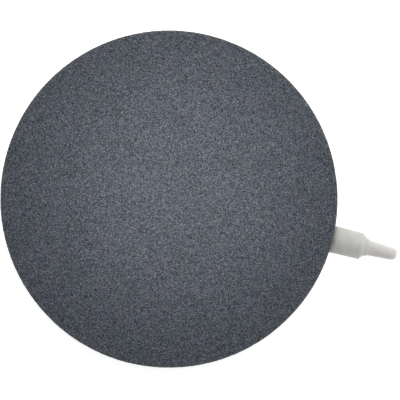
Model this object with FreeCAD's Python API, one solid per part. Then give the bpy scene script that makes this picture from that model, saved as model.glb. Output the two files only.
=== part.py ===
# Disc air stone for ponds and aquariums, in millimetres.
# Two half discs of bonded mineral grains are glued face to face at a seam at mid height. Matching
# grooves in their glued faces make the air channels. A stepped hose nozzle is glued into a round
# socket that opens on the seam, and a sealing coat closes the underside, so that air leaves upwards.
# The origin is the centre of the underside, +Z is up and +X runs out along the nozzle.
import FreeCAD, Part
import os

# Disc
DISC_RADIUS = 65.0
HALF_THICKNESS = 11.6
SEAM_THICKNESS = 0.4
COAT_THICKNESS = 0.4
RIM_ROUNDING = 1.0
PARTING_CHAMFER = 0.4

# Air channels: half of each channel's height is in each half disc
CHANNEL_WIDTH = 6.0
CHANNEL_DEPTH = 2.5
RING_CHANNEL_RADIUS = 38.0
SPOKE_COUNT = 4

# Nozzle: distances along X from the disc's centre, and radii about the nozzle's axis
SPIGOT_INNER_END = 46.5
SPIGOT_RADIUS = 4.0
SPIGOT_CHAMFER = 0.6
KEY_GROOVE_STARTS = (50.0, 54.0, 58.0)
KEY_GROOVE_WIDTH = 1.2
KEY_GROOVE_DEPTH = 0.4
SHOULDER_GAP = 0.05
SHOULDER_RADIUS = 5.35
BARREL_RADIUS = 5.25
BARREL_START = 67.6
BARREL_END = 76.8
STEP_ROUNDING = 2.0
COLLAR_RADIUS = 3.6
COLLAR_END = 79.9
NECK_AT = 80.9
NECK_RADIUS = 2.95
LAND_RADIUS = 2.65
LAND_START = 84.8
LAND_END = 88.0
TIP_RADIUS = 2.36
TIP_ROUNDING = 1.15
TIP_AT = 91.8
MAIN_BORE_RADIUS = 2.6
MAIN_BORE_END = 76.4
TIP_BORE_RADIUS = 1.1
TIP_BORE_START = 79.6
TIP_BORE_CHAMFER = 0.1

# Adhesive round the nozzle
GLUE_GAP = 0.15
BEAD_OUT = 0.8
BEAD_ALONG = 1.2
BEAD_HOLLOW = 0.45

# How far a cut runs past the surface that it opens
CUT_CLEARANCE = 1.0

# Sizes that follow
LOWER_BOTTOM = COAT_THICKNESS
LOWER_TOP = LOWER_BOTTOM + HALF_THICKNESS
UPPER_BOTTOM = LOWER_TOP + SEAM_THICKNESS
SEAM_MIDDLE = (LOWER_TOP + UPPER_BOTTOM) / 2
SOCKET_RADIUS = SPIGOT_RADIUS + GLUE_GAP
SHOULDER_AT = DISC_RADIUS + SHOULDER_GAP
FOLDER = "parts"

UP = FreeCAD.Vector(0, 0, 1)
ALONG_X = FreeCAD.Vector(1, 0, 0)
NOZZLE_AXIS_POINT = FreeCAD.Vector(0, 0, SEAM_MIDDLE)


def line(start, end):
    return Part.LineSegment(start, end).toShape()


def arc_between(start, end, centre):
    """The shorter arc from start to end about centre."""
    radius = (start - centre).Length
    middle = (start + end) * 0.5 - centre
    middle.normalize()
    return Part.Arc(start, centre + middle * radius, end).toShape()


def turned(edges, point, axis):
    """The solid that a closed outline sweeps in a full turn about an axis."""
    face = Part.Face(Part.Wire(edges))
    return face.revolve(point, axis, 360)


def on_nozzle(x, radius):
    """A point of the nozzle's outline: how far along X, and how far from the nozzle's axis."""
    return FreeCAD.Vector(x, 0, SEAM_MIDDLE + radius)


def nozzle_turned(edges):
    return turned(edges, NOZZLE_AXIS_POINT, ALONG_X)


def rod_along_x(radius, start, end):
    return Part.makeCylinder(radius, end - start, FreeCAD.Vector(start, 0, SEAM_MIDDLE), ALONG_X)


def air_channels(height):
    """Ring, spokes and feed channel, centred on the seam and this high in all."""
    floor = SEAM_MIDDLE - height / 2
    base = FreeCAD.Vector(0, 0, floor)
    half_width = CHANNEL_WIDTH / 2
    ring = Part.makeCylinder(RING_CHANNEL_RADIUS + half_width, height, base)
    ring = ring.cut(Part.makeCylinder(RING_CHANNEL_RADIUS - half_width, height, base))
    channels = [ring]
    for number in range(SPOKE_COUNT):
        spoke = Part.makeBox(RING_CHANNEL_RADIUS, CHANNEL_WIDTH, height)
        spoke.translate(FreeCAD.Vector(0, -half_width, floor))
        spoke.rotate(FreeCAD.Vector(), UP, number * 360 / SPOKE_COUNT)
        channels.append(spoke)
    feed = Part.makeBox(SPIGOT_INNER_END - RING_CHANNEL_RADIUS, CHANNEL_WIDTH, height)
    feed.translate(FreeCAD.Vector(RING_CHANNEL_RADIUS, -half_width, floor))
    channels.append(feed)
    return channels[0].multiFuse(channels[1:]).removeSplitter()


def nozzle_socket():
    """The round hole that the nozzle's spigot is glued into."""
    return rod_along_x(SOCKET_RADIUS, SPIGOT_INNER_END - GLUE_GAP, DISC_RADIUS + CUT_CLEARANCE)


def upper_stone():
    """The half disc that bubbles: rounded upper rim, chamfered at the seam, grooved underneath."""
    top = UPPER_BOTTOM + HALF_THICKNESS
    corners = {
        "centre_low": FreeCAD.Vector(0, 0, UPPER_BOTTOM),
        "seam_edge": FreeCAD.Vector(DISC_RADIUS - PARTING_CHAMFER, 0, UPPER_BOTTOM),
        "wall_low": FreeCAD.Vector(DISC_RADIUS, 0, UPPER_BOTTOM + PARTING_CHAMFER),
        "wall_high": FreeCAD.Vector(DISC_RADIUS, 0, top - RIM_ROUNDING),
        "face_edge": FreeCAD.Vector(DISC_RADIUS - RIM_ROUNDING, 0, top),
        "centre_high": FreeCAD.Vector(0, 0, top),
    }
    rim_centre = FreeCAD.Vector(DISC_RADIUS - RIM_ROUNDING, 0, top - RIM_ROUNDING)
    outline = [
        line(corners["centre_low"], corners["seam_edge"]),
        line(corners["seam_edge"], corners["wall_low"]),
        line(corners["wall_low"], corners["wall_high"]),
        arc_between(corners["wall_high"], corners["face_edge"], rim_centre),
        line(corners["face_edge"], corners["centre_high"]),
        line(corners["centre_high"], corners["centre_low"]),
    ]
    solid = turned(outline, FreeCAD.Vector(), UP)
    solid = solid.cut(air_channels(SEAM_THICKNESS + 2 * CHANNEL_DEPTH))
    return solid.cut(nozzle_socket())


def lower_stone(upper):
    """The same moulding turned over about the nozzle's axis."""
    solid = upper.copy()
    solid.rotate(NOZZLE_AXIS_POINT, ALONG_X, 180)
    return solid


def seam_adhesive():
    """The glue film on the lands between the channels: an outer band and one pad between spokes."""
    base = FreeCAD.Vector(0, 0, LOWER_TOP)
    film = Part.makeCylinder(DISC_RADIUS - PARTING_CHAMFER, SEAM_THICKNESS, base)
    film = film.cut(air_channels(SEAM_THICKNESS + 2 * CHANNEL_DEPTH))
    return film.cut(nozzle_socket())


def base_seal_coat():
    """The waterproof coat on the flat of the underside."""
    return Part.makeCylinder(DISC_RADIUS - RIM_ROUNDING, COAT_THICKNESS)


def spigot_outline():
    """Outline edges of the glued-in spigot, with its key grooves, up to the shoulder."""
    start = on_nozzle(SPIGOT_INNER_END, SPIGOT_RADIUS - SPIGOT_CHAMFER)
    points = [start, on_nozzle(SPIGOT_INNER_END + SPIGOT_CHAMFER, SPIGOT_RADIUS)]
    for groove in KEY_GROOVE_STARTS:
        floor = SPIGOT_RADIUS - KEY_GROOVE_DEPTH
        points.append(on_nozzle(groove, SPIGOT_RADIUS))
        points.append(on_nozzle(groove, floor))
        points.append(on_nozzle(groove + KEY_GROOVE_WIDTH, floor))
        points.append(on_nozzle(groove + KEY_GROOVE_WIDTH, SPIGOT_RADIUS))
    points.append(on_nozzle(SHOULDER_AT, SPIGOT_RADIUS))
    points.append(on_nozzle(SHOULDER_AT, SHOULDER_RADIUS))
    return [line(a, b) for a, b in zip(points, points[1:])]


def barrel_outline():
    """Outline edges from the shoulder over the barrel and the step to the neck. The step rounds over
    until it slopes at 45 degrees, and then runs straight down to the collar."""
    step_centre = on_nozzle(BARREL_END, BARREL_RADIUS - STEP_ROUNDING)
    barrel_end = on_nozzle(BARREL_END, BARREL_RADIUS)
    slope_start = step_centre + FreeCAD.Vector(1, 0, 1).normalize() * STEP_ROUNDING
    slope_start_radius = slope_start.z - SEAM_MIDDLE
    step_end = on_nozzle(slope_start.x + slope_start_radius - COLLAR_RADIUS, COLLAR_RADIUS)
    collar_end = on_nozzle(COLLAR_END, COLLAR_RADIUS)
    return [
        line(on_nozzle(SHOULDER_AT, SHOULDER_RADIUS), on_nozzle(BARREL_START, BARREL_RADIUS)),
        line(on_nozzle(BARREL_START, BARREL_RADIUS), barrel_end),
        arc_between(barrel_end, slope_start, step_centre),
        line(slope_start, step_end),
        line(step_end, collar_end),
        line(collar_end, on_nozzle(NECK_AT, NECK_RADIUS)),
    ]


def tip_outline():
    """Outline edges of the small tapered nozzle, from its neck to the middle of its rounded end."""
    rounding_start = on_nozzle(TIP_AT - TIP_ROUNDING, TIP_RADIUS)
    rounding_end = on_nozzle(TIP_AT, TIP_RADIUS - TIP_ROUNDING)
    rounding_centre = on_nozzle(TIP_AT - TIP_ROUNDING, TIP_RADIUS - TIP_ROUNDING)
    return [
        line(on_nozzle(NECK_AT, NECK_RADIUS), on_nozzle(LAND_START, LAND_RADIUS)),
        line(on_nozzle(LAND_START, LAND_RADIUS), on_nozzle(LAND_END, LAND_RADIUS)),
        line(on_nozzle(LAND_END, LAND_RADIUS), rounding_start),
        arc_between(rounding_start, rounding_end, rounding_centre),
        line(rounding_end, on_nozzle(TIP_AT, 0)),
    ]


def nozzle_blank():
    """The nozzle's outside, with no bore."""
    closing = [
        line(on_nozzle(TIP_AT, 0), on_nozzle(SPIGOT_INNER_END, 0)),
        line(on_nozzle(SPIGOT_INNER_END, 0), on_nozzle(SPIGOT_INNER_END, SPIGOT_RADIUS - SPIGOT_CHAMFER)),
    ]
    return nozzle_turned(spigot_outline() + barrel_outline() + tip_outline() + closing)


def nozzle_bore():
    """The stepped air passage: wide through the barrel, narrow through the tip."""
    start = SPIGOT_INNER_END - CUT_CLEARANCE
    end = TIP_AT + CUT_CLEARANCE
    mouth = TIP_BORE_RADIUS + TIP_BORE_CHAMFER
    points = [
        on_nozzle(start, 0),
        on_nozzle(start, MAIN_BORE_RADIUS),
        on_nozzle(MAIN_BORE_END, MAIN_BORE_RADIUS),
        on_nozzle(TIP_BORE_START, TIP_BORE_RADIUS),
        on_nozzle(TIP_AT - TIP_BORE_CHAMFER, TIP_BORE_RADIUS),
        on_nozzle(TIP_AT, mouth),
        on_nozzle(end, mouth),
        on_nozzle(end, 0),
    ]
    closed = points + points[:1]
    return nozzle_turned([line(a, b) for a, b in zip(closed, closed[1:])])


def nozzle_adhesive(blank):
    """The glue sleeve round the spigot, the film under the shoulder and the hollow bead round it."""
    sleeve_start = SPIGOT_INNER_END + SPIGOT_CHAMFER
    sleeve = rod_along_x(SOCKET_RADIUS, sleeve_start, SHOULDER_AT)
    rim = SHOULDER_RADIUS + BEAD_OUT
    behind_wall = DISC_RADIUS - CUT_CLEARANCE
    bead_end = SHOULDER_AT + BEAD_ALONG
    foot = on_nozzle(SHOULDER_AT, rim)
    top = on_nozzle(bead_end, BARREL_RADIUS)
    straight_middle = (foot + top) * 0.5
    corner = on_nozzle(SHOULDER_AT, BARREL_RADIUS)
    face_middle = straight_middle + (corner - straight_middle) * BEAD_HOLLOW
    outline = [
        line(on_nozzle(behind_wall, SPIGOT_RADIUS), on_nozzle(behind_wall, rim)),
        line(on_nozzle(behind_wall, rim), foot),
        Part.Arc(foot, face_middle, top).toShape(),
        line(top, on_nozzle(bead_end, SPIGOT_RADIUS)),
        line(on_nozzle(bead_end, SPIGOT_RADIUS), on_nozzle(behind_wall, SPIGOT_RADIUS)),
    ]
    disc = Part.makeCylinder(DISC_RADIUS, UPPER_BOTTOM + HALF_THICKNESS)
    outside = nozzle_turned(outline).cut(disc)
    return sleeve.fuse(outside).cut(blank).removeSplitter()


def checked(name, shape):
    """Stops the build if a piece isn't made of closed, valid solids, and prints its volume."""
    if not shape.Solids or not shape.isValid():
        raise ValueError(f"{name} isn't a valid solid")
    print(f"{name}: {len(shape.Solids)} solid(s), {shape.Volume / 1000:.2f} cm3")
    return shape


def main():
    os.makedirs(FOLDER, exist_ok=True)
    upper = upper_stone()
    blank = nozzle_blank()
    pieces = {
        "upper_stone": upper,
        "lower_stone": lower_stone(upper),
        "seam_adhesive": seam_adhesive(),
        "base_seal_coat": base_seal_coat(),
        "inlet_nozzle": blank.cut(nozzle_bore()),
        "nozzle_adhesive": nozzle_adhesive(blank),
    }
    for name, shape in pieces.items():
        checked(name, shape).exportStep(os.path.join(FOLDER, name + ".step"))


main()
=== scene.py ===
import math

import bmesh
import bpy
import numpy as np
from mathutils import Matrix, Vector, noise


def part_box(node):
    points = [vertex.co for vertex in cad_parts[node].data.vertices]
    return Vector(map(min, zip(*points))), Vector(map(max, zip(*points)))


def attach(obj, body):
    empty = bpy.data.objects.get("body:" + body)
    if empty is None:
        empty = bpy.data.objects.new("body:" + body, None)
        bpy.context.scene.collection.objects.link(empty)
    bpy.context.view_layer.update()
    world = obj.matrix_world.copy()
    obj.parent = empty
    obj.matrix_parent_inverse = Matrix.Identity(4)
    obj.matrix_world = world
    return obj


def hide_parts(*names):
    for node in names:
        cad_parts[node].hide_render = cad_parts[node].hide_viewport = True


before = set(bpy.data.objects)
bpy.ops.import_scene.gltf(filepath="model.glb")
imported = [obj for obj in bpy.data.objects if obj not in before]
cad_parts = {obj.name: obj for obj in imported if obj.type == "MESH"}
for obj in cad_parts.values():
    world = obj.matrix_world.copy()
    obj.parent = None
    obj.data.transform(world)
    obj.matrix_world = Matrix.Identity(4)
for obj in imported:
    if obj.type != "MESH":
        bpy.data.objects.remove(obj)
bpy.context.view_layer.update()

# Everything is in metres, in the row's frame: the origin is the centre of the underside, +Z is up and
# +X runs out along the nozzle.
MM = 0.001
RANDOM = np.random.default_rng(41)

# Sizes read from the frame
UPPER_LOW, UPPER_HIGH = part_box("upper_stone")
LOWER_LOW, LOWER_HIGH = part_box("lower_stone")
NOZZLE_LOW, NOZZLE_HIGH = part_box("inlet_nozzle")
DISC_RADIUS = -UPPER_LOW.x
DISC_TOP = UPPER_HIGH.z
HALF_THICKNESS = UPPER_HIGH.z - UPPER_LOW.z
COAT_TOP = LOWER_LOW.z
AXIS_HEIGHT = (NOZZLE_LOW.z + NOZZLE_HIGH.z) / 2
SPIGOT_END = NOZZLE_LOW.x
TIP_END = NOZZLE_HIGH.x

# Stone's outline
RIM_ROUNDING = 1.0 * MM
RIM_STEPS = 3
PARTING_CHAMFER = 0.4 * MM

# Stone's relief: points one step apart are pushed out or in and slid sideways. The relief is the push's
# standard deviation, the limit is in those, and the gain of the painted shade, which darkens low points
# and pits, is for each. The slide is a share of the step.
GRAIN_STEP = 0.42 * MM
GRAIN_RELIEF = 0.028 * MM
GRAIN_LIMIT = 2.2
GRAIN_SLIDE = 0.32
GRAIN_PAINTED_SHADE_GAIN = 0.22
PIT_DEPTH = 0.13 * MM
PIT_SHARE = 0.03
WAVE_HEIGHT = 0.05 * MM
WAVE_SIZE = 22 * MM
CHIP_COUNT = 18
CHIP_DEPTH = 0.2 * MM
CHIP_REACH = 0.9 * MM
SMALLEST_CHIP = 0.35

# Faces that can't be seen, the lower outer face under the coat and both seam faces, have few points
HIDDEN_STEP = 6 * MM
HIDDEN_MARGIN_STEPS = 4
SEAM_FACE_BAND = 3 * MM
SEAM_FACE_POINTS = 96

# Stone's colour
GRAIN_SIZE = 0.26 * MM
GRAIN_BRIGHTNESS = 0.68
GRAIN_TINT = (-0.024, 0.0, 0.038)
DISPLAY_GAMMA = 2.2
PATCH_SIZE = 14 * MM
BLOOM_SIZE = 5 * MM
EDGE_WEAR_AND_HIGHLIGHT_REACH = 2.0 * MM

# Air channels
CHANNEL_WIDTH = 6.0 * MM
CHANNEL_DEPTH = 2.5 * MM
RING_CHANNEL_RADIUS = 38.0 * MM

# Nozzle: distances along X from the disc's centre, and radii about its own axis
SPIGOT_RADIUS = 4.0 * MM
SPIGOT_CHAMFER = 0.6 * MM
GLUE_GAP = 0.15 * MM
SOCKET_RADIUS = SPIGOT_RADIUS + GLUE_GAP
SOCKET_END = SPIGOT_END - GLUE_GAP
KEY_GROOVE_STARTS = (50 * MM, 54 * MM, 58 * MM)
KEY_GROOVE_WIDTH = 1.2 * MM
KEY_GROOVE_DEPTH = 0.4 * MM
GROOVE_ROUNDING = 0.08 * MM
SHOULDER_GAP = 0.05 * MM
SHOULDER_AT = DISC_RADIUS + SHOULDER_GAP
SHOULDER_RADIUS = 5.34 * MM
STEP_AT = 77.75 * MM
STEP_RADIUS = 5.16 * MM
STEP_ROUNDING = 2.0 * MM
COLLAR_AT = 79.1 * MM
COLLAR_RADIUS = 3.6 * MM
COLLAR_END = 79.95 * MM
NECK_AT = 80.75 * MM
NECK_RADIUS = 2.95 * MM
TIP_RADIUS = 2.38 * MM
TIP_CHAMFER = 0.95 * MM
MAIN_BORE_RADIUS = 2.6 * MM
MAIN_BORE_END = 76.4 * MM
TIP_BORE_RADIUS = 1.1 * MM
TIP_BORE_START = 79.6 * MM
TIP_BORE_MOUTH = 1.2 * MM
MOULD_UNEVENNESS = 0.02 * MM
PARTING_RIDGE = 0.06 * MM
PARTING_WIDTH = 0.16 * MM
GATE_AT = 77.6 * MM
GATE_RADIUS = 0.42 * MM
GATE_TOP = 5.42 * MM
GATE_ROOT_DEPTH = 1.2 * MM
GATE_TAPER = 0.85
GATE_LEAN = 0.25
SKIN_DEPTH = 0.9 * MM
OUTLINE_SPACING = 0.4 * MM
NOZZLE_SEGMENTS = 176

# Glue: the nozzle's bead reaches a little into the barrel and the stone's wall, so that no gap shows.
# The seam bead's heights, from the film's middle, are in halves of the film's thickness.
BEAD_OUT = 0.75 * MM
BEAD_ALONG = 1.25 * MM
BEAD_UNEVENNESS = 0.28 * MM
BEAD_WAVE_RADIUS = 5.5 * MM
BEAD_STEPS = 7
INTO_BARREL = 0.02 * MM
INTO_WALL = 0.06 * MM
SEAM_BEAD_OUT = 0.3 * MM
SEAM_BEAD_LEAST = 0.05 * MM
SEAM_BEAD_UNEVENNESS = 0.22 * MM
SEAM_BEAD_DRIFT = 0.05 * MM
SEAM_BEAD_HEIGHTS = (-1.3, -0.8, 0.0, 0.8, 1.3)
SEAM_BEAD_REACH = 1.6
SEAM_SEGMENTS = 1080

# Seal coat
COAT_EDGE = 63.6 * MM
COAT_EDGE_UNEVENNESS = 0.35 * MM
COAT_UNEVENNESS = 0.05 * MM
COAT_EDGE_ROUNDING = 0.8 * MM
COAT_LEAST = 0.01 * MM
COAT_SEGMENTS = 720
COAT_RINGS = 33
COAT_EDGE_RINGS = 8

# Picture: the disc's share of the picture's width, and where the disc's centre lies from the middle of
# the picture, as shares of its width to the right and up
DISC_SHARE = 0.8434
CENTRE_RIGHT = -0.0776
CENTRE_UP = 0.0023
NOZZLE_TURN = math.radians(-13.8)
CAMERA_DISTANCE = 0.5
SENSOR = 36.0

# Studio: each place is how far to the right of the disc's middle, up the picture and above the floor
SOFT_BOX_PLACE = (0.07, 0.37, 1.05)
SOFT_BOX_SIZE = 0.7
SOFT_BOX_POWER = 3.75
FAR_LIGHT_PLACE = (0.4, 0.95, 0.6)
FAR_LIGHT_SIZE = 0.5
FAR_LIGHT_POWER = 3.1
POOL_MIDDLE = (4.0 * MM, 10.5 * MM, 0.0)
POOL_HEIGHT = 0.75
POOL_SPREAD = math.radians(11.3)
POOL_SOURCE_RADIUS = 0.03
POOL_POWER = 16.2
FLOOR_RADIUS = 6.0
FLOOR_GAP = 0.1 * MM
FLOOR_GLOW = 0.76

# Mesh: points closer together than this are the same point, a rounded corner turns by this much from
# point to point and takes up to this share of its sides, and a smaller turn needs no rounding
SAME_PLACE = 1e-7
ARC_STEP = math.radians(14)
LONGEST_REACH = 0.49
LEAST_TURN = 0.01


# ---------------------------------------------------------------- picture


def make_camera():
    """Looks straight down on the disc, with the nozzle to the right and turned a little downwards."""
    field = 2 * DISC_RADIUS / DISC_SHARE
    rim_height = DISC_TOP - RIM_ROUNDING
    turn = -NOZZLE_TURN
    right = Vector((math.cos(turn), math.sin(turn), 0))
    up = Vector((-math.sin(turn), math.cos(turn), 0))
    foot = -(right * CENTRE_RIGHT + up * CENTRE_UP) * field
    data = bpy.data.cameras.new("camera")
    data.sensor_width = SENSOR
    data.lens = SENSOR * CAMERA_DISTANCE / field
    data.clip_start = 0.01
    data.clip_end = 50
    camera = bpy.data.objects.new("camera", data)
    camera.location = (foot.x, foot.y, rim_height + CAMERA_DISTANCE)
    camera.rotation_euler = (0, 0, turn)
    bpy.context.scene.collection.objects.link(camera)
    bpy.context.scene.camera = camera
    return right, up


def make_light(name, kind, place, aim, energy, **settings):
    """A light at a place, turned to shine at another."""
    data = bpy.data.lights.new(name, kind)
    data.energy = energy
    for key, value in settings.items():
        setattr(data, key, value)
    lamp = bpy.data.objects.new(name, data)
    lamp.location = place
    lamp.rotation_euler = (Vector(aim) - Vector(place)).to_track_quat("-Z", "Y").to_euler()
    bpy.context.scene.collection.objects.link(lamp)


def make_room():
    """An even pale room that is lighter towards the horizon."""
    world = bpy.data.worlds.new("studio")
    world.use_nodes = True
    nodes = world.node_tree.nodes
    links = world.node_tree.links
    direction = nodes.new("ShaderNodeSeparateXYZ")
    links.new(nodes.new("ShaderNodeTexCoord").outputs["Generated"], direction.inputs["Vector"])
    height = add_range(nodes, links, direction.outputs["Z"], -1.0, 1.0, 0.0, 1.0)
    shade = add_ramp(nodes, links, height, [
        (0.40, grey(0.70)),
        (0.50, grey(1.00)),
        (0.62, grey(0.35)),
        (1.00, grey(0.27)),
    ])
    links.new(shade, nodes["Background"].inputs["Color"])
    bpy.context.scene.world = world


def light_studio(right, up):
    """A big soft box overhead, a weak light beyond the disc and a soft pool of light on the disc's
    middle, in the pale room."""
    make_room()

    def in_studio(place):
        return right * place[0] + up * place[1] + Vector((0, 0, place[2]))

    make_light("soft_box", "AREA", in_studio(SOFT_BOX_PLACE), (0, 0, 0), SOFT_BOX_POWER,
               shape="SQUARE", size=SOFT_BOX_SIZE)
    make_light("far_light", "AREA", in_studio(FAR_LIGHT_PLACE), (0, 0, 0), FAR_LIGHT_POWER,
               shape="SQUARE", size=FAR_LIGHT_SIZE)
    pool_middle = in_studio(POOL_MIDDLE)
    pool_place = pool_middle + Vector((0, 0, POOL_HEIGHT))
    make_light("pool", "SPOT", pool_place, pool_middle, POOL_POWER, spot_size=POOL_SPREAD,
               spot_blend=1.0, shadow_soft_size=POOL_SOURCE_RADIUS)
    bpy.context.scene.view_settings.view_transform = "Standard"
    bpy.context.scene.view_settings.look = "None"


def make_floor():
    """A plain pale floor, clear when seen from below."""
    mesh = bpy.data.meshes.new("floor")
    build = bmesh.new()
    bmesh.ops.create_circle(build, cap_ends=True, segments=96, radius=FLOOR_RADIUS)
    build.to_mesh(mesh)
    build.free()
    floor = bpy.data.objects.new("floor", mesh)
    floor.location.z = -FLOOR_GAP
    bpy.context.scene.collection.objects.link(floor)
    material, nodes, links, shader = new_material("pale_floor")
    shader.inputs["Base Color"].default_value = (0.70, 0.70, 0.70, 1)
    shader.inputs["Roughness"].default_value = 0.9
    shader.inputs["Emission Color"].default_value = (1, 1, 1, 1)
    shader.inputs["Emission Strength"].default_value = FLOOR_GLOW
    clear = nodes.new("ShaderNodeBsdfTransparent")
    sides = nodes.new("ShaderNodeMixShader")
    links.new(nodes.new("ShaderNodeNewGeometry").outputs["Backfacing"], sides.inputs["Fac"])
    links.new(shader.outputs["BSDF"], sides.inputs[1])
    links.new(clear.outputs["BSDF"], sides.inputs[2])
    links.new(sides.outputs["Shader"], nodes["Material Output"].inputs["Surface"])
    mesh.materials.append(material)


# ---------------------------------------------------------------- materials


def new_material(name):
    """A new material with its nodes, its links and the shader that it comes with."""
    material = bpy.data.materials.new(name)
    material.use_nodes = True
    tree = material.node_tree
    return material, tree.nodes, tree.links, tree.nodes["Principled BSDF"]


def object_places(nodes):
    """Places in the part's own frame, in metres."""
    return nodes.new("ShaderNodeTexCoord").outputs["Object"]


def add_noise(nodes, links, places, size, detail=3.0, roughness=0.55):
    """Noise whose lumps are about this many metres across."""
    node = nodes.new("ShaderNodeTexNoise")
    node.inputs["Scale"].default_value = 1 / size
    node.inputs["Detail"].default_value = detail
    node.inputs["Roughness"].default_value = roughness
    links.new(places, node.inputs["Vector"])
    return node


def add_cells(nodes, links, places, size):
    """Cells about this many metres across."""
    node = nodes.new("ShaderNodeTexVoronoi")
    node.inputs["Scale"].default_value = 1 / size
    links.new(places, node.inputs["Vector"])
    return node


def add_ramp(nodes, links, value, stops):
    """A colour for each value, from (value, colour) stops."""
    node = nodes.new("ShaderNodeValToRGB")
    elements = node.color_ramp.elements
    while len(elements) < len(stops):
        elements.new(0.5)
    for element, (position, colour) in zip(elements, stops):
        element.position = position
        element.color = (*colour, 1)
    links.new(value, node.inputs["Fac"])
    return node.outputs["Color"]


def grey(value):
    return (value, value, value)


def add_tint(nodes, links, colour, tint, amount=1.0):
    """The colour multiplied by a tint."""
    node = nodes.new("ShaderNodeMix")
    node.data_type = "RGBA"
    node.blend_type = "MULTIPLY"
    node.inputs[0].default_value = amount
    links.new(colour, node.inputs[6])
    links.new(tint, node.inputs[7])
    return node.outputs[2]


def add_range(nodes, links, value, low, high, to_low, to_high):
    """The value moved from one range to another, and kept within it."""
    node = nodes.new("ShaderNodeMapRange")
    for name, number in zip(("From Min", "From Max", "To Min", "To Max"), (low, high, to_low, to_high)):
        node.inputs[name].default_value = number
    links.new(value, node.inputs["Value"])
    return node.outputs["Result"]


def add_bump(nodes, links, height, distance, strength, under=None):
    """A bumped normal, on top of another bump where one is given."""
    node = nodes.new("ShaderNodeBump")
    node.inputs["Strength"].default_value = strength
    node.inputs["Distance"].default_value = distance
    links.new(height, node.inputs["Height"])
    if under is not None:
        links.new(under, node.inputs["Normal"])
    return node.outputs["Normal"]


def add_math(nodes, links, operation, value, number=0.0):
    """A value worked on by a number."""
    node = nodes.new("ShaderNodeMath")
    node.operation = operation
    node.inputs[1].default_value = number
    links.new(value, node.inputs[0])
    return node.outputs["Value"]


def add_length(nodes, links, vector):
    """How long a vector is."""
    node = nodes.new("ShaderNodeVectorMath")
    node.operation = "LENGTH"
    links.new(vector, node.inputs[0])
    return node.outputs["Value"]


def add_edge_distance(nodes, links, places):
    """How far each place is from the nearer of the disc's two outer edges."""
    parts = nodes.new("ShaderNodeSeparateXYZ")
    links.new(places, parts.inputs["Vector"])
    flat = nodes.new("ShaderNodeCombineXYZ")
    links.new(parts.outputs["X"], flat.inputs["X"])
    links.new(parts.outputs["Y"], flat.inputs["Y"])
    radius = add_length(nodes, links, flat.outputs["Vector"])
    above_middle = add_math(nodes, links, "SUBTRACT", parts.outputs["Z"], AXIS_HEIGHT)
    from_middle = add_math(nodes, links, "ABSOLUTE", above_middle)
    edge_height = DISC_TOP - AXIS_HEIGHT
    offset = nodes.new("ShaderNodeCombineXYZ")
    links.new(add_math(nodes, links, "SUBTRACT", radius, DISC_RADIUS), offset.inputs["X"])
    links.new(add_math(nodes, links, "SUBTRACT", from_middle, edge_height), offset.inputs["Y"])
    return add_length(nodes, links, offset.outputs["Vector"])


def blue_grey(lightness):
    """The base colour of a grain that looks this light, a little bluer than grey."""
    return tuple(GRAIN_BRIGHTNESS * (lightness + tint) ** DISPLAY_GAMMA for tint in GRAIN_TINT)


def grain_colour(nodes, links, chance):
    """A shade for each grain, by its own chance from 0 to 1, with painted shade that darkens pits and low
    relief.
    """
    shades = add_ramp(nodes, links, chance, [
        (0.00, blue_grey(0.10)),
        (0.16, blue_grey(0.23)),
        (0.50, blue_grey(0.38)),
        (0.84, blue_grey(0.50)),
        (0.97, blue_grey(0.57)),
        (1.00, blue_grey(0.66)),
    ])
    # Painted shade: the relief attribute makes pits and low points darker.
    relief = nodes.new("ShaderNodeAttribute")
    relief.attribute_name = "grain"
    painted_depth_shade = add_ramp(nodes, links, relief.outputs["Fac"], [
        (0.0, grey(0.60)),
        (0.25, grey(0.95)),
        (0.65, grey(1.0)),
        (1.0, grey(1.06)),
    ])
    return add_tint(nodes, links, shades, painted_depth_shade)


def weathered_with_edge_highlight(nodes, links, places, colour):
    """The colour in wide patches and small blooms, and paler at the disc's edges: partly wear, partly a
    painted highlight where the rims catch the light.
    """
    patches = add_noise(nodes, links, places, PATCH_SIZE, detail=4.0, roughness=0.6)
    patch_tint = add_ramp(nodes, links, patches.outputs["Fac"], [
        (0.30, (0.91, 0.99, 0.94)),
        (0.50, (1.00, 1.00, 1.00)),
        (0.70, (1.06, 0.99, 1.06)),
    ])
    colour = add_tint(nodes, links, colour, patch_tint)
    blooms = add_noise(nodes, links, places, BLOOM_SIZE)
    bloom_tint = add_ramp(nodes, links, blooms.outputs["Fac"], [
        (0.32, (1.01, 1.00, 0.95)),
        (0.50, (1.00, 1.00, 1.00)),
        (0.68, (0.98, 0.99, 1.05)),
    ])
    colour = add_tint(nodes, links, colour, bloom_tint)

    # Lighter, warmer rims: partly wear, partly a painted highlight on the rounded edges.
    from_edge = add_edge_distance(nodes, links, places)
    wear_and_highlight_share = add_range(nodes, links, from_edge, 0.0, EDGE_WEAR_AND_HIGHLIGHT_REACH, 0.0, 1.0)
    wear_and_highlight_tint = add_ramp(nodes, links, wear_and_highlight_share, [
        (0.10, (1.18, 1.15, 1.07)),
        (0.28, (1.10, 1.09, 1.00)),
        (0.40, (1.05, 1.04, 0.975)),
        (0.65, (1.00, 1.00, 0.965)),
        (1.00, (1.00, 1.00, 1.00)),
    ])
    return add_tint(nodes, links, colour, wear_and_highlight_tint)


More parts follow.
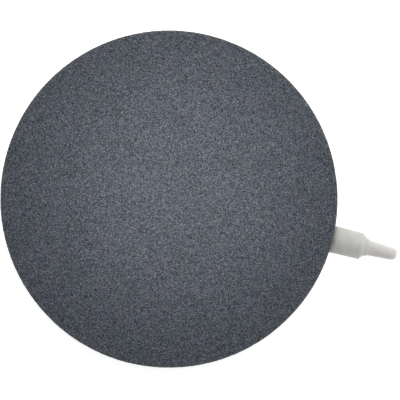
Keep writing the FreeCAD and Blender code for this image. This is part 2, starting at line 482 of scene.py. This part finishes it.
def stone_material():
    """Bonded blue-grey mineral grains: each grain has its own shade, gloss and rounding."""
    material, nodes, links, shader = new_material("porous_stone")
    places = object_places(nodes)
    grains = add_cells(nodes, links, places, GRAIN_SIZE)
    split = nodes.new("ShaderNodeSeparateColor")
    links.new(grains.outputs["Color"], split.inputs["Color"])
    colour = grain_colour(nodes, links, split.outputs["Red"])
    links.new(weathered_with_edge_highlight(nodes, links, places, colour), shader.inputs["Base Color"])

    roughness = add_range(nodes, links, split.outputs["Green"], 0.0, 1.0, 0.92, 0.6)
    links.new(roughness, shader.inputs["Roughness"])
    shader.inputs["Specular IOR Level"].default_value = 0.35

    fine = add_noise(nodes, links, places, size=0.12 * MM, detail=2.0)
    rounding = add_range(nodes, links, grains.outputs["Distance"], 0.0, 0.8, 1.0, 0.0)
    normal = add_bump(nodes, links, rounding, distance=0.10 * MM, strength=0.9)
    normal = add_bump(nodes, links, fine.outputs["Fac"], distance=0.03 * MM, strength=0.5,
                      under=normal)
    links.new(normal, shader.inputs["Normal"])
    return material


def plastic_material():
    """Milky moulded plastic: cloudy, with soft flow streaks, and faintly yellow, with painted shade, at
    the root, growing lighter towards the tip.
    """
    material, nodes, links, shader = new_material("milky_plastic")
    places = object_places(nodes)
    along = nodes.new("ShaderNodeSeparateXYZ")
    links.new(places, along.inputs["Vector"])
    share_along = add_range(nodes, links, along.outputs["X"], DISC_RADIUS, TIP_END, 0.0, 1.0)
    # Painted shade: much darker at the root next to the disc, growing lighter towards the tip.
    base = add_ramp(nodes, links, share_along, [
        (0.00, (0.37, 0.37, 0.33)),
        (0.10, (0.635, 0.632, 0.61)),
        (0.25, (0.705, 0.703, 0.685)),
        (0.55, (0.765, 0.76, 0.745)),
        (1.00, (0.885, 0.87, 0.84)),
    ])
    clouds = add_noise(nodes, links, places, size=3.5 * MM, detail=3.0)
    cloud_tint = add_ramp(nodes, links, clouds.outputs["Fac"], [
        (0.30, (0.93, 0.91, 0.87)),
        (0.55, (1.00, 1.00, 1.00)),
        (0.75, (1.03, 1.04, 1.05)),
    ])
    base = add_tint(nodes, links, base, cloud_tint)
    stretch = nodes.new("ShaderNodeMapping")
    stretch.inputs["Scale"].default_value = (0.12, 1.0, 1.0)
    links.new(places, stretch.inputs["Vector"])
    streaks = add_noise(nodes, links, stretch.outputs["Vector"], size=0.7 * MM, detail=4.0)
    streak_tint = add_ramp(nodes, links, streaks.outputs["Fac"], [
        (0.28, (0.91, 0.90, 0.88)),
        (0.42, (0.985, 0.98, 0.975)),
        (0.60, (1.0, 1.0, 1.0)),
    ])
    links.new(add_tint(nodes, links, base, streak_tint), shader.inputs["Base Color"])
    roughness = add_range(nodes, links, streaks.outputs["Fac"], 0.3, 0.7, 0.46, 0.60)
    links.new(roughness, shader.inputs["Roughness"])
    normal = add_bump(nodes, links, streaks.outputs["Fac"], distance=0.05 * MM, strength=0.35)
    links.new(normal, shader.inputs["Normal"])
    shader.inputs["Subsurface Weight"].default_value = 0.8
    shader.inputs["Subsurface Radius"].default_value = (1.0, 0.9, 0.75)
    shader.inputs["Subsurface Scale"].default_value = 2.0 * MM
    shader.inputs["Transmission Weight"].default_value = 0.08
    shader.inputs["Specular IOR Level"].default_value = 0.35
    return material


def nozzle_glue_material():
    """Cloudy, slightly yellow epoxy with stone dust in it."""
    material, nodes, links, shader = new_material("nozzle_glue")
    places = object_places(nodes)
    clouds = add_noise(nodes, links, places, size=1.3 * MM, detail=5.0, roughness=0.65)
    colour = add_ramp(nodes, links, clouds.outputs["Fac"], [
        (0.25, (0.215, 0.195, 0.155)),
        (0.50, (0.330, 0.305, 0.250)),
        (0.75, (0.450, 0.420, 0.350)),
    ])
    dust = add_cells(nodes, links, places, size=0.4 * MM)
    specks = add_ramp(nodes, links, dust.outputs["Distance"], [(0.10, grey(0.35)), (0.26, grey(1.0))])
    links.new(add_tint(nodes, links, colour, specks, 0.6), shader.inputs["Base Color"])
    roughness = add_range(nodes, links, clouds.outputs["Fac"], 0.3, 0.7, 0.28, 0.5)
    links.new(roughness, shader.inputs["Roughness"])
    normal = add_bump(nodes, links, clouds.outputs["Fac"], distance=0.15 * MM, strength=0.5)
    links.new(normal, shader.inputs["Normal"])
    shader.inputs["Subsurface Weight"].default_value = 0.4
    shader.inputs["Subsurface Scale"].default_value = 0.8 * MM
    return material


def seam_glue_material():
    """Dark grey glue, dusty with stone, that shows as a thin bead round the seam."""
    material, nodes, links, shader = new_material("seam_glue")
    places = object_places(nodes)
    lumps = add_noise(nodes, links, places, size=1.8 * MM, detail=5.0, roughness=0.65)
    colour = add_ramp(nodes, links, lumps.outputs["Fac"], [
        (0.25, (0.035, 0.037, 0.042)),
        (0.55, (0.070, 0.074, 0.080)),
        (0.80, (0.120, 0.125, 0.132)),
    ])
    links.new(colour, shader.inputs["Base Color"])
    roughness = add_range(nodes, links, lumps.outputs["Fac"], 0.3, 0.7, 0.42, 0.72)
    links.new(roughness, shader.inputs["Roughness"])
    normal = add_bump(nodes, links, lumps.outputs["Fac"], distance=0.2 * MM, strength=0.6)
    links.new(normal, shader.inputs["Normal"])
    return material


def coat_material():
    """Brushed-on waterproof coat: satin, with faint brush marks and the stone's grain showing through."""
    material, nodes, links, shader = new_material("seal_coat")
    places = object_places(nodes)
    stretch = nodes.new("ShaderNodeMapping")
    stretch.inputs["Scale"].default_value = (0.2, 1.0, 1.0)
    stretch.inputs["Rotation"].default_value = (0, 0, math.radians(24))
    links.new(places, stretch.inputs["Vector"])
    strokes = add_noise(nodes, links, stretch.outputs["Vector"], size=0.9 * MM, detail=5.0, roughness=0.6)
    patches = add_noise(nodes, links, places, size=11 * MM, detail=6.0, roughness=0.6)
    colour = add_ramp(nodes, links, strokes.outputs["Fac"], [
        (0.25, (0.024, 0.025, 0.029)),
        (0.55, (0.031, 0.033, 0.037)),
        (0.80, (0.040, 0.042, 0.047)),
    ])
    wear = add_ramp(nodes, links, patches.outputs["Fac"], [(0.35, grey(0.82)), (0.65, grey(1.25))])
    colour = add_tint(nodes, links, colour, wear)
    grains = add_cells(nodes, links, places, size=0.5 * MM)
    specks = add_ramp(nodes, links, grains.outputs["Distance"], [(0.10, grey(1.35)), (0.45, grey(0.9))])
    links.new(add_tint(nodes, links, colour, specks, 0.6), shader.inputs["Base Color"])
    roughness = add_range(nodes, links, patches.outputs["Fac"], 0.3, 0.7, 0.34, 0.55)
    links.new(roughness, shader.inputs["Roughness"])
    normal = add_bump(nodes, links, strokes.outputs["Fac"], distance=0.06 * MM, strength=0.5)
    normal = add_bump(nodes, links, grains.outputs["Distance"], distance=0.05 * MM, strength=0.5,
                      under=normal)
    links.new(normal, shader.inputs["Normal"])
    return material


# ---------------------------------------------------------------- mesh helpers


def link_piece(name, mesh, material, slot, *nodes):
    """A visible piece that takes the place of a CAD node."""
    piece = bpy.data.objects.new(name, mesh)
    bpy.context.scene.collection.objects.link(piece)
    mesh.materials.clear()
    mesh.materials.append(material)
    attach(piece, "root")
    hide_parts(*nodes)
    return piece


def stitch(first, first_count, second, second_count):
    """Triangles between two rings of points, given each ring's first index and how many points it has."""
    faces = []
    i = 0
    j = 0
    while i < first_count or j < second_count:
        step_first = first_count > 1 and (i + 1) / first_count <= (j + 1) / second_count
        if second_count == 1 or j == second_count or (step_first and i < first_count):
            faces.append((first + i % first_count, first + (i + 1) % first_count,
                          second + j % second_count))
            i += 1
            if second_count == 1 and i == first_count:
                break
        else:
            faces.append((first + i % first_count, second + (j + 1) % second_count,
                          second + j % second_count))
            j += 1
            if first_count == 1 and j == second_count:
                break
    return faces


def combine(piece, other, operation):
    """Adds another mesh to the piece, or takes it out of the piece, for good, and removes it."""
    modifier = piece.modifiers.new("combine", "BOOLEAN")
    modifier.operation = operation
    modifier.solver = "MANIFOLD"
    modifier.object = other
    seen = piece.evaluated_get(bpy.context.evaluated_depsgraph_get())
    combined = bpy.data.meshes.new_from_object(seen)
    build = bmesh.new()
    build.from_mesh(combined)
    bmesh.ops.remove_doubles(build, verts=build.verts, dist=SAME_PLACE)
    bmesh.ops.dissolve_degenerate(build, edges=build.edges, dist=SAME_PLACE)
    build.to_mesh(combined)
    build.free()
    piece.modifiers.clear()
    piece.data = combined
    bpy.data.objects.remove(other)


def smooth_shade(piece, degrees):
    """Shades the piece smoothly, except across edges sharper than this."""
    piece.data.polygons.foreach_set("use_smooth", np.ones(len(piece.data.polygons), bool))
    piece.data.set_sharp_from_angle(angle=math.radians(degrees))


def make_cutter(build):
    """A loose object from a mesh under construction, to add to a piece or cut out of it."""
    mesh = bpy.data.meshes.new("cutter")
    bmesh.ops.recalc_face_normals(build, faces=build.faces)
    build.to_mesh(mesh)
    build.free()
    cutter = bpy.data.objects.new("cutter", mesh)
    bpy.context.scene.collection.objects.link(cutter)
    return cutter


def box_cutter(low, high):
    """A box between two corners."""
    build = bmesh.new()
    bmesh.ops.create_cube(build, size=1)
    middle = (Vector(low) + Vector(high)) / 2
    size = Vector(high) - Vector(low)
    for vertex in build.verts:
        vertex.co = middle + vertex.co * size
    return make_cutter(build)


def turned_cutter(section, segments, along_x):
    """A ring-shaped or solid cutter: a closed section of (distance along the axis, radius) turned about
    the disc's axis, or about the nozzle's axis."""
    build = bmesh.new()
    rings = []
    for number in range(segments):
        angle = 2 * math.pi * number / segments
        ring = []
        for along, radius in section:
            across = radius * math.cos(angle)
            other = radius * math.sin(angle)
            place = (along, across, AXIS_HEIGHT + other) if along_x else (across, other, along)
            ring.append(build.verts.new(place))
        rings.append(ring)
    for ring, following in zip(rings, rings[1:] + rings[:1]):
        for k in range(len(section)):
            after = (k + 1) % len(section)
            build.faces.new((ring[k], following[k], following[after], ring[after]))
    bmesh.ops.remove_doubles(build, verts=build.verts, dist=SAME_PLACE)
    return make_cutter(build)


def waves(places, size, seed):
    """Smooth noise from -1 to 1 at each place, with lumps of this size."""
    shift = Vector((seed * 11.3, seed * 5.7, 0))
    return np.array([noise.noise(Vector(place) / size + shift) for place in places])


def ring_waves(angles, radius, size, seed):
    """Smooth noise from -1 to 1 round a circle, the same at its two ends."""
    places = np.stack([radius * np.cos(angles), radius * np.sin(angles), 0 * angles], axis=1)
    return waves(places, size, seed)


def closed_mesh(name, rings):
    """A mesh from rings of points, each joined to the next and the last to the first."""
    count, points = rings.shape[:2]
    mesh = bpy.data.meshes.new(name)
    faces = []
    for row in range(count):
        first = row * points
        following = (row + 1) % count * points
        for k in range(points):
            after = (k + 1) % points
            faces.append((first + k, first + after, following + after, following + k))
    mesh.from_pydata(rings.reshape(-1, 3), [], faces)
    build = bmesh.new()
    build.from_mesh(mesh)
    bmesh.ops.remove_doubles(build, verts=build.verts, dist=SAME_PLACE)
    bmesh.ops.recalc_face_normals(build, faces=build.faces)
    build.to_mesh(mesh)
    build.free()
    return mesh


def round_corner(before, corner, after, rounding):
    """Points that replace a corner of an outline with an arc of this radius."""
    corner = np.array(corner)
    back = np.array(before) - corner
    ahead = np.array(after) - corner
    back_length = np.linalg.norm(back)
    ahead_length = np.linalg.norm(ahead)
    back = back / back_length
    ahead = ahead / ahead_length
    opening = math.acos(np.clip(back @ ahead, -1, 1))
    turn = math.pi - opening
    if rounding == 0 or turn < LEAST_TURN:
        return [corner]
    reach = min(rounding * math.tan(turn / 2), LONGEST_REACH * back_length, LONGEST_REACH * ahead_length)
    radius = reach / math.tan(turn / 2)
    middle = (back + ahead) / np.linalg.norm(back + ahead)
    centre = corner + middle * radius / math.sin(opening / 2)
    steps = max(2, math.ceil(turn / ARC_STEP))
    start = corner + back * reach - centre
    end = corner + ahead * reach - centre
    points = []
    for k in range(steps + 1):
        share = k / steps
        blend = (start * math.sin((1 - share) * turn) + end * math.sin(share * turn)) / math.sin(turn)
        points.append(centre + blend)
    return points


def rounded_outline(corners, spacing):
    """Points round a closed outline of (along, radius, rounding) corners, at most this far apart."""
    bare = [(along, radius) for along, radius, rounding in corners]
    rounded = []
    for k, corner in enumerate(corners):
        after = bare[(k + 1) % len(bare)]
        rounded.extend(round_corner(bare[k - 1], bare[k], after, rounding=corner[2]))
    points = []
    for start, end in zip(rounded, rounded[1:] + rounded[:1]):
        steps = max(1, math.ceil(np.linalg.norm(end - start) / spacing))
        for k in range(steps):
            points.append(start + (end - start) * k / steps)
    return np.array(points)


# ---------------------------------------------------------------- stone halves


def face_rings(face_radius, height, step):
    """Rings over the outer face, with six more points in each, so that all triangles are alike."""
    count = round(face_radius / step)
    return [(face_radius * k / count, height, max(1, 6 * k), 0.0) for k in range(count + 1)]


def stone_rings(fine_face):
    """Rings of a half disc from the middle of its outer face, over the rim and down the wall to the
    middle of the seam face. Each is its radius, its height above the seam face, how many points it has,
    and its normal's angle from straight up, or None where the face stays flat."""
    face_radius = DISC_RADIUS - RIM_ROUNDING
    around = 6 * round(face_radius / GRAIN_STEP)
    if fine_face:
        rings = face_rings(face_radius, HALF_THICKNESS, GRAIN_STEP)
    else:
        rings = face_rings(face_radius - HIDDEN_MARGIN_STEPS * GRAIN_STEP, HALF_THICKNESS, HIDDEN_STEP)
        for k in (2, 1, 0):
            rings.append((face_radius - k * GRAIN_STEP, HALF_THICKNESS, around, 0.0))
    for k in range(1, RIM_STEPS + 1):
        angle = math.pi / 2 * k / RIM_STEPS
        rings.append((face_radius + RIM_ROUNDING * math.sin(angle),
                      HALF_THICKNESS - RIM_ROUNDING * (1 - math.cos(angle)), around, angle))
    wall = HALF_THICKNESS - RIM_ROUNDING - PARTING_CHAMFER
    rows = round(wall / GRAIN_STEP)
    for k in range(1, rows + 1):
        rings.append((DISC_RADIUS, PARTING_CHAMFER + wall * (1 - k / rows), around, math.pi / 2))
    rings.append((DISC_RADIUS - PARTING_CHAMFER, 0.0, around, math.pi / 2))
    rings.append((DISC_RADIUS - SEAM_FACE_BAND, 0.0, SEAM_FACE_POINTS, None))
    rings.append((0.0, 0.0, 1, None))
    return rings


def chip_depths(radii, angles, heights):
    """How far the rim has lost a grain or two, at a few places round it."""
    depth = np.zeros(len(radii))
    chip_angles = RANDOM.uniform(0, 2 * math.pi, CHIP_COUNT)
    sizes = RANDOM.uniform(SMALLEST_CHIP, 1.0, CHIP_COUNT)
    for chip_angle, size in zip(chip_angles, sizes):
        gap = (angles - chip_angle + math.pi) % (2 * math.pi) - math.pi
        from_edge = np.hypot(radii - DISC_RADIUS, heights - HALF_THICKNESS)
        distance = np.hypot(gap * DISC_RADIUS, from_edge)
        depth += CHIP_DEPTH * size * np.clip(1 - distance / (CHIP_REACH * size), 0, 1)
    return depth


def ring_points(rings):
    """Every ring point's radius, height, angle, tilt and roughness: 1 with grain relief, 0 without."""
    columns = []
    for radius, height, count, tilt in rings:
        angles = np.arange(count) * 2 * math.pi / count
        rough = 0.0 if tilt is None else 1.0
        columns.append([np.full(count, radius), np.full(count, height), angles,
                        np.full(count, tilt or 0.0), np.full(count, rough)])
    return np.concatenate(columns, axis=1)


def ring_faces(rings):
    """Triangles between each ring and the next."""
    faces = []
    start = 0
    for ring, following in zip(rings, rings[1:]):
        faces.extend(stitch(start, ring[2], start + ring[2], following[2]))
        start += ring[2]
    return faces


def stone_half(name, node, slot, material, fine_face, seam_height, upwards):
    """One half disc with its grain relief. upwards is 1 for the upper half and -1 for the lower."""
    rings = stone_rings(fine_face)
    radii, heights, angles, tilts, rough = ring_points(rings)
    total = len(radii)

    grain = RANDOM.normal(0, 1, total).clip(-GRAIN_LIMIT, GRAIN_LIMIT)
    pits = RANDOM.random(total) < PIT_SHARE
    slide = RANDOM.uniform(-GRAIN_SLIDE, GRAIN_SLIDE, (2, total)) * GRAIN_STEP * rough
    on_face = tilts == 0
    on_wall = np.isclose(tilts, math.pi / 2)
    radii_moved = radii + np.where(on_face & (radii < DISC_RADIUS - 2 * RIM_ROUNDING), slide[0], 0)
    inside_wall = on_wall & (heights > PARTING_CHAMFER * 1.5)
    heights_moved = heights + np.where(inside_wall, slide[0], 0)
    angles_moved = angles + slide[1] / np.maximum(radii, GRAIN_STEP)

    flat_places = np.stack([radii * np.cos(angles), radii * np.sin(angles), heights], axis=1)
    swell = waves(flat_places, WAVE_SIZE, seed=1 if upwards > 0 else 2) * WAVE_HEIGHT
    push = (grain * GRAIN_RELIEF - pits * PIT_DEPTH + swell) * rough
    push -= chip_depths(radii, angles, heights) * rough
    radii_moved = radii_moved + push * np.sin(tilts)
    heights_moved = heights_moved + push * np.cos(tilts) * rough

    places = np.stack([radii_moved * np.cos(angles_moved), radii_moved * np.sin(angles_moved),
                       seam_height + upwards * heights_moved], axis=1)
    faces = ring_faces(rings)
    if upwards > 0:
        faces = [face[::-1] for face in faces]
    mesh = bpy.data.meshes.new(name)
    mesh.from_pydata(places, [], faces)
    # Painted shade, kept in the grain attribute: pits are darkest and lower points darker than higher
    # ones.
    shades = np.where(pits, 0.0, 0.5 + grain * GRAIN_PAINTED_SHADE_GAIN).clip(0, 1)
    shade = mesh.attributes.new("grain", "FLOAT", "POINT")
    shade.data.foreach_set("value", shades.astype(np.float32))
    mesh.validate()
    return link_piece(name, mesh, material, slot, node)


def cut_air_ways(piece, low, high):
    """Cuts the ring and spoke channels, between these heights, and the nozzle's socket out of a piece."""
    half_width = CHANNEL_WIDTH / 2
    inner = RING_CHANNEL_RADIUS - half_width
    outer = RING_CHANNEL_RADIUS + half_width
    reach = RING_CHANNEL_RADIUS
    beyond_wall = DISC_RADIUS + 2 * MM
    ring = [(low, inner), (low, outer), (high, outer), (high, inner)]
    socket = [(SOCKET_END, 0), (SOCKET_END, SOCKET_RADIUS),
              (beyond_wall, SOCKET_RADIUS), (beyond_wall, 0)]
    cutters = [
        turned_cutter(ring, segments=192, along_x=False),
        box_cutter((-reach, -half_width, low), (SPIGOT_END, half_width, high)),
        box_cutter((-half_width, -reach, low), (half_width, reach, high)),
        turned_cutter(socket, segments=96, along_x=True),
    ]
    for cutter in cutters:
        combine(piece, cutter, "DIFFERENCE")


# ---------------------------------------------------------------- nozzle, glue and coat


def spigot_corners():
    """Corners of the glued-in spigot's outline, with its key grooves, up to the shoulder."""
    corners = [
        (SPIGOT_END, SPIGOT_RADIUS - SPIGOT_CHAMFER, 0.1 * MM),
        (SPIGOT_END + SPIGOT_CHAMFER, SPIGOT_RADIUS, 0.2 * MM),
    ]
    for start in KEY_GROOVE_STARTS:
        end = start + KEY_GROOVE_WIDTH
        floor = SPIGOT_RADIUS - KEY_GROOVE_DEPTH
        groove = ((start, SPIGOT_RADIUS), (start, floor), (end, floor), (end, SPIGOT_RADIUS))
        corners += [(along, radius, GROOVE_ROUNDING) for along, radius in groove]
    corners.append((SHOULDER_AT, SPIGOT_RADIUS, 0))
    return corners


def nozzle_corners():
    """Corners of the whole outline: spigot, shoulder, drafted barrel, step, collar, tip and bore. Each is
    how far along X it is, how far from the nozzle's axis, and its rounding."""
    outside = [
        (SHOULDER_AT, SHOULDER_RADIUS, 0.15 * MM),
        (STEP_AT, STEP_RADIUS, STEP_ROUNDING),
        (COLLAR_AT, COLLAR_RADIUS, 0.5 * MM),
        (COLLAR_END, COLLAR_RADIUS - 0.04 * MM, 0.6 * MM),
        (NECK_AT, NECK_RADIUS, 0.6 * MM),
        (TIP_END - TIP_CHAMFER, TIP_RADIUS, 0.9 * MM),
        (TIP_END, TIP_RADIUS - TIP_CHAMFER, 0.35 * MM),
    ]
    bore = [
        (TIP_END, TIP_BORE_MOUTH, 0),
        (TIP_END - 0.15 * MM, TIP_BORE_RADIUS, 0.08 * MM),
        (TIP_BORE_START, TIP_BORE_RADIUS, 0.4 * MM),
        (MAIN_BORE_END, MAIN_BORE_RADIUS, 0.4 * MM),
        (SPIGOT_END, MAIN_BORE_RADIUS, 0.1 * MM),
    ]
    return spigot_corners() + outside + bore


def turned_rings(outline, segments):
    """Distance along X, radius and angle of every point of an outline turned about the nozzle's axis.
    Angle 0 is towards +Y and a quarter turn is up."""
    angles = np.arange(segments)[:, None] * 2 * math.pi / segments
    along = outline[None, :, 0] + 0 * angles
    radii = outline[None, :, 1] + 0 * angles
    return along, radii, angles + 0 * along


def placed(along, radii, angles):
    """Points from their distance along X, radius and angle about the nozzle's axis."""
    return np.stack([along, radii * np.cos(angles), AXIS_HEIGHT + radii * np.sin(angles)], axis=2)


def gate_stub():
    """The trimmed stub on the side of the step where the plastic entered the mould."""
    build = bmesh.new()
    root = STEP_RADIUS - GATE_ROOT_DEPTH
    bmesh.ops.create_cone(build, cap_ends=True, segments=20, radius1=GATE_RADIUS,
                          radius2=GATE_RADIUS * GATE_TAPER, depth=GATE_TOP - root)
    for vertex in build.verts:
        across = vertex.co.z + (GATE_TOP + root) / 2
        lean = GATE_LEAN * vertex.co.x if vertex.co.z > 0 else 0
        vertex.co = Vector((GATE_AT + vertex.co.x, -across + lean, AXIS_HEIGHT + vertex.co.y))
    return make_cutter(build)


def nozzle(material):
    """The moulded nozzle, with its parting ridge on both sides and the stub of its gate."""
    outline = rounded_outline(nozzle_corners(), OUTLINE_SPACING)
    along, radii, angles = turned_rings(outline, NOZZLE_SEGMENTS)
    places = placed(along, radii, angles)
    outer_radius = np.interp(along, [SHOULDER_AT, STEP_AT, COLLAR_AT, NECK_AT, TIP_END],
                             [SHOULDER_RADIUS, STEP_RADIUS, COLLAR_RADIUS, NECK_RADIUS, TIP_RADIUS])
    outside = (along > SHOULDER_AT + 0.2 * MM) & (radii > outer_radius - SKIN_DEPTH)
    from_parting = radii * np.abs(np.sin(angles))
    ridge = PARTING_RIDGE * np.exp(-(from_parting / PARTING_WIDTH) ** 2)
    swell = waves(places.reshape(-1, 3), 3 * MM, seed=3).reshape(along.shape) * MOULD_UNEVENNESS
    mesh = closed_mesh("nozzle_moulding", placed(along, radii + outside * (ridge + swell), angles))
    piece = link_piece("nozzle_moulding", mesh, material, "milky_plastic", "inlet_nozzle")
    combine(piece, gate_stub(), "UNION")
    smooth_shade(piece, degrees=35)


def wall_at(radii, angles):
    """How far along X the disc's round wall is, at these places round the nozzle's axis."""
    across = radii * np.cos(angles)
    return np.sqrt(DISC_RADIUS**2 - across**2)


def nozzle_glue(material):
    """The sleeve of glue in the socket, and the uneven bead that fills the corner outside it."""
    sleeve = [(SPIGOT_END + SPIGOT_CHAMFER, SOCKET_RADIUS)]
    sleeve += [corner[:2] for corner in spigot_corners()[1:]]
    angles = np.arange(NOZZLE_SEGMENTS) * 2 * math.pi / NOZZLE_SEGMENTS
    reach = BEAD_OUT + BEAD_UNEVENNESS * ring_waves(angles, BEAD_WAVE_RADIUS, 3.4 * MM, seed=4)
    climb = BEAD_ALONG + BEAD_UNEVENNESS * ring_waves(angles, BEAD_WAVE_RADIUS, 3.0 * MM, seed=5)
    inner = SHOULDER_RADIUS - INTO_BARREL
    rings = []
    for angle, out, along_barrel in zip(angles, reach, climb):
        points = list(sleeve)
        points.append((SHOULDER_AT, inner))
        for k in range(BEAD_STEPS + 1):
            quarter = math.pi / 2 * k / BEAD_STEPS
            radius = inner + out * (1 - math.cos(quarter))
            foot = wall_at(radius, angle) - INTO_WALL
            points.append((foot + (SHOULDER_AT + along_barrel - foot) * (1 - math.sin(quarter)), radius))
        outer = points[-1][1]
        for radius in (outer - 0.05 * MM, SOCKET_RADIUS):
            points.append((wall_at(radius, angle) - 2 * INTO_WALL, radius))
        rings.append(points)
    along, radii = np.moveaxis(np.array(rings), 2, 0)
    mesh = closed_mesh("nozzle_glue_bead", placed(along, radii, angles[:, None] + 0 * along))
    piece = link_piece("nozzle_glue_bead", mesh, material, "nozzle_glue", "nozzle_adhesive")
    smooth_shade(piece, degrees=40)


def round_about_z(sections, angles):
    """Rings of points about the disc's axis, from (radius, height) sections, one for each angle."""
    radii = sections[:, :, 0]
    turns = angles[:, None] + 0 * radii
    return np.stack([radii * np.cos(turns), radii * np.sin(turns), sections[:, :, 1]], axis=2)


def seam_glue(material):
    """The film between the halves, with an uneven bead squeezed out into the groove round the seam."""
    low = LOWER_HIGH.z
    high = UPPER_LOW.z
    angles = np.arange(SEAM_SEGMENTS) * 2 * math.pi / SEAM_SEGMENTS
    out = SEAM_BEAD_OUT + SEAM_BEAD_UNEVENNESS * ring_waves(angles, DISC_RADIUS, 2.5 * MM, seed=6)
    drift = SEAM_BEAD_DRIFT * ring_waves(angles, DISC_RADIUS, 4 * MM, seed=7)
    edge = DISC_RADIUS - PARTING_CHAMFER
    middle = (low + high) / 2
    half = (high - low) / 2
    sections = []
    for bulge, shift in zip(out, drift):
        section = [(0, low), (edge, low)]
        for height in SEAM_BEAD_HEIGHTS:
            fullness = 1 - (height / SEAM_BEAD_REACH) ** 2
            bead_radius = edge + max(bulge, SEAM_BEAD_LEAST) * fullness
            section.append((bead_radius, middle + height * half + shift))
        section += [(edge, high), (0, high)]
        sections.append(section)
    mesh = closed_mesh("seam_glue_film", round_about_z(np.array(sections), angles))
    piece = link_piece("seam_glue_film", mesh, material, "seam_glue", "seam_adhesive")
    cut_air_ways(piece, low - CHANNEL_DEPTH, high + CHANNEL_DEPTH)
    smooth_shade(piece, degrees=40)


def seal_coat(material):
    """The brushed-on coat: an uneven underside and a wandering, rounded edge."""
    angles = np.arange(COAT_SEGMENTS) * 2 * math.pi / COAT_SEGMENTS
    edge = COAT_EDGE + COAT_EDGE_UNEVENNESS * ring_waves(angles, DISC_RADIUS, 6 * MM, seed=8)
    shares = np.linspace(0, 1, COAT_RINGS + 1)[:-1]
    radii = (edge[:, None] - COAT_EDGE_ROUNDING) * shares
    rounding = np.linspace(0, 1, COAT_EDGE_RINGS)
    rim = edge[:, None] - COAT_EDGE_ROUNDING * (1 - rounding)
    radii = np.concatenate([radii, rim], axis=1)
    under = np.concatenate([0 * shares, COAT_TOP * (1 - np.sqrt(1 - rounding**2))])
    places = round_about_z(np.stack([radii, 0 * radii], axis=2), angles)
    swell = waves(places.reshape(-1, 3), 9 * MM, seed=9).reshape(radii.shape)
    heights = np.minimum(under + COAT_UNEVENNESS * (1 + swell), COAT_TOP - COAT_LEAST)
    heights[:, 0] = heights[:, 0].mean()
    bottom = np.stack([radii, heights], axis=2)
    top = np.stack([radii[:, [-1, 0]], COAT_TOP + 0 * radii[:, [-1, 0]]], axis=2)
    sections = np.concatenate([bottom, top], axis=1)
    mesh = closed_mesh("brushed_coat", round_about_z(sections, angles))
    piece = link_piece("brushed_coat", mesh, material, "seal_coat", "base_seal_coat")
    smooth_shade(piece, degrees=60)


# ---------------------------------------------------------------- making


right, up = make_camera()
light_studio(right, up)
make_floor()

stone = stone_material()
upper = stone_half("upper_stone_grain", "upper_stone", "porous_stone", stone, True, UPPER_LOW.z, 1)
cut_air_ways(upper, UPPER_LOW.z - CHANNEL_DEPTH, UPPER_LOW.z + CHANNEL_DEPTH)
lower = stone_half("lower_stone_grain", "lower_stone", "porous_stone", stone, False, LOWER_HIGH.z, -1)
cut_air_ways(lower, LOWER_HIGH.z - CHANNEL_DEPTH, LOWER_HIGH.z + CHANNEL_DEPTH)
nozzle(plastic_material())
nozzle_glue(nozzle_glue_material())
seam_glue(seam_glue_material())
seal_coat(coat_material())
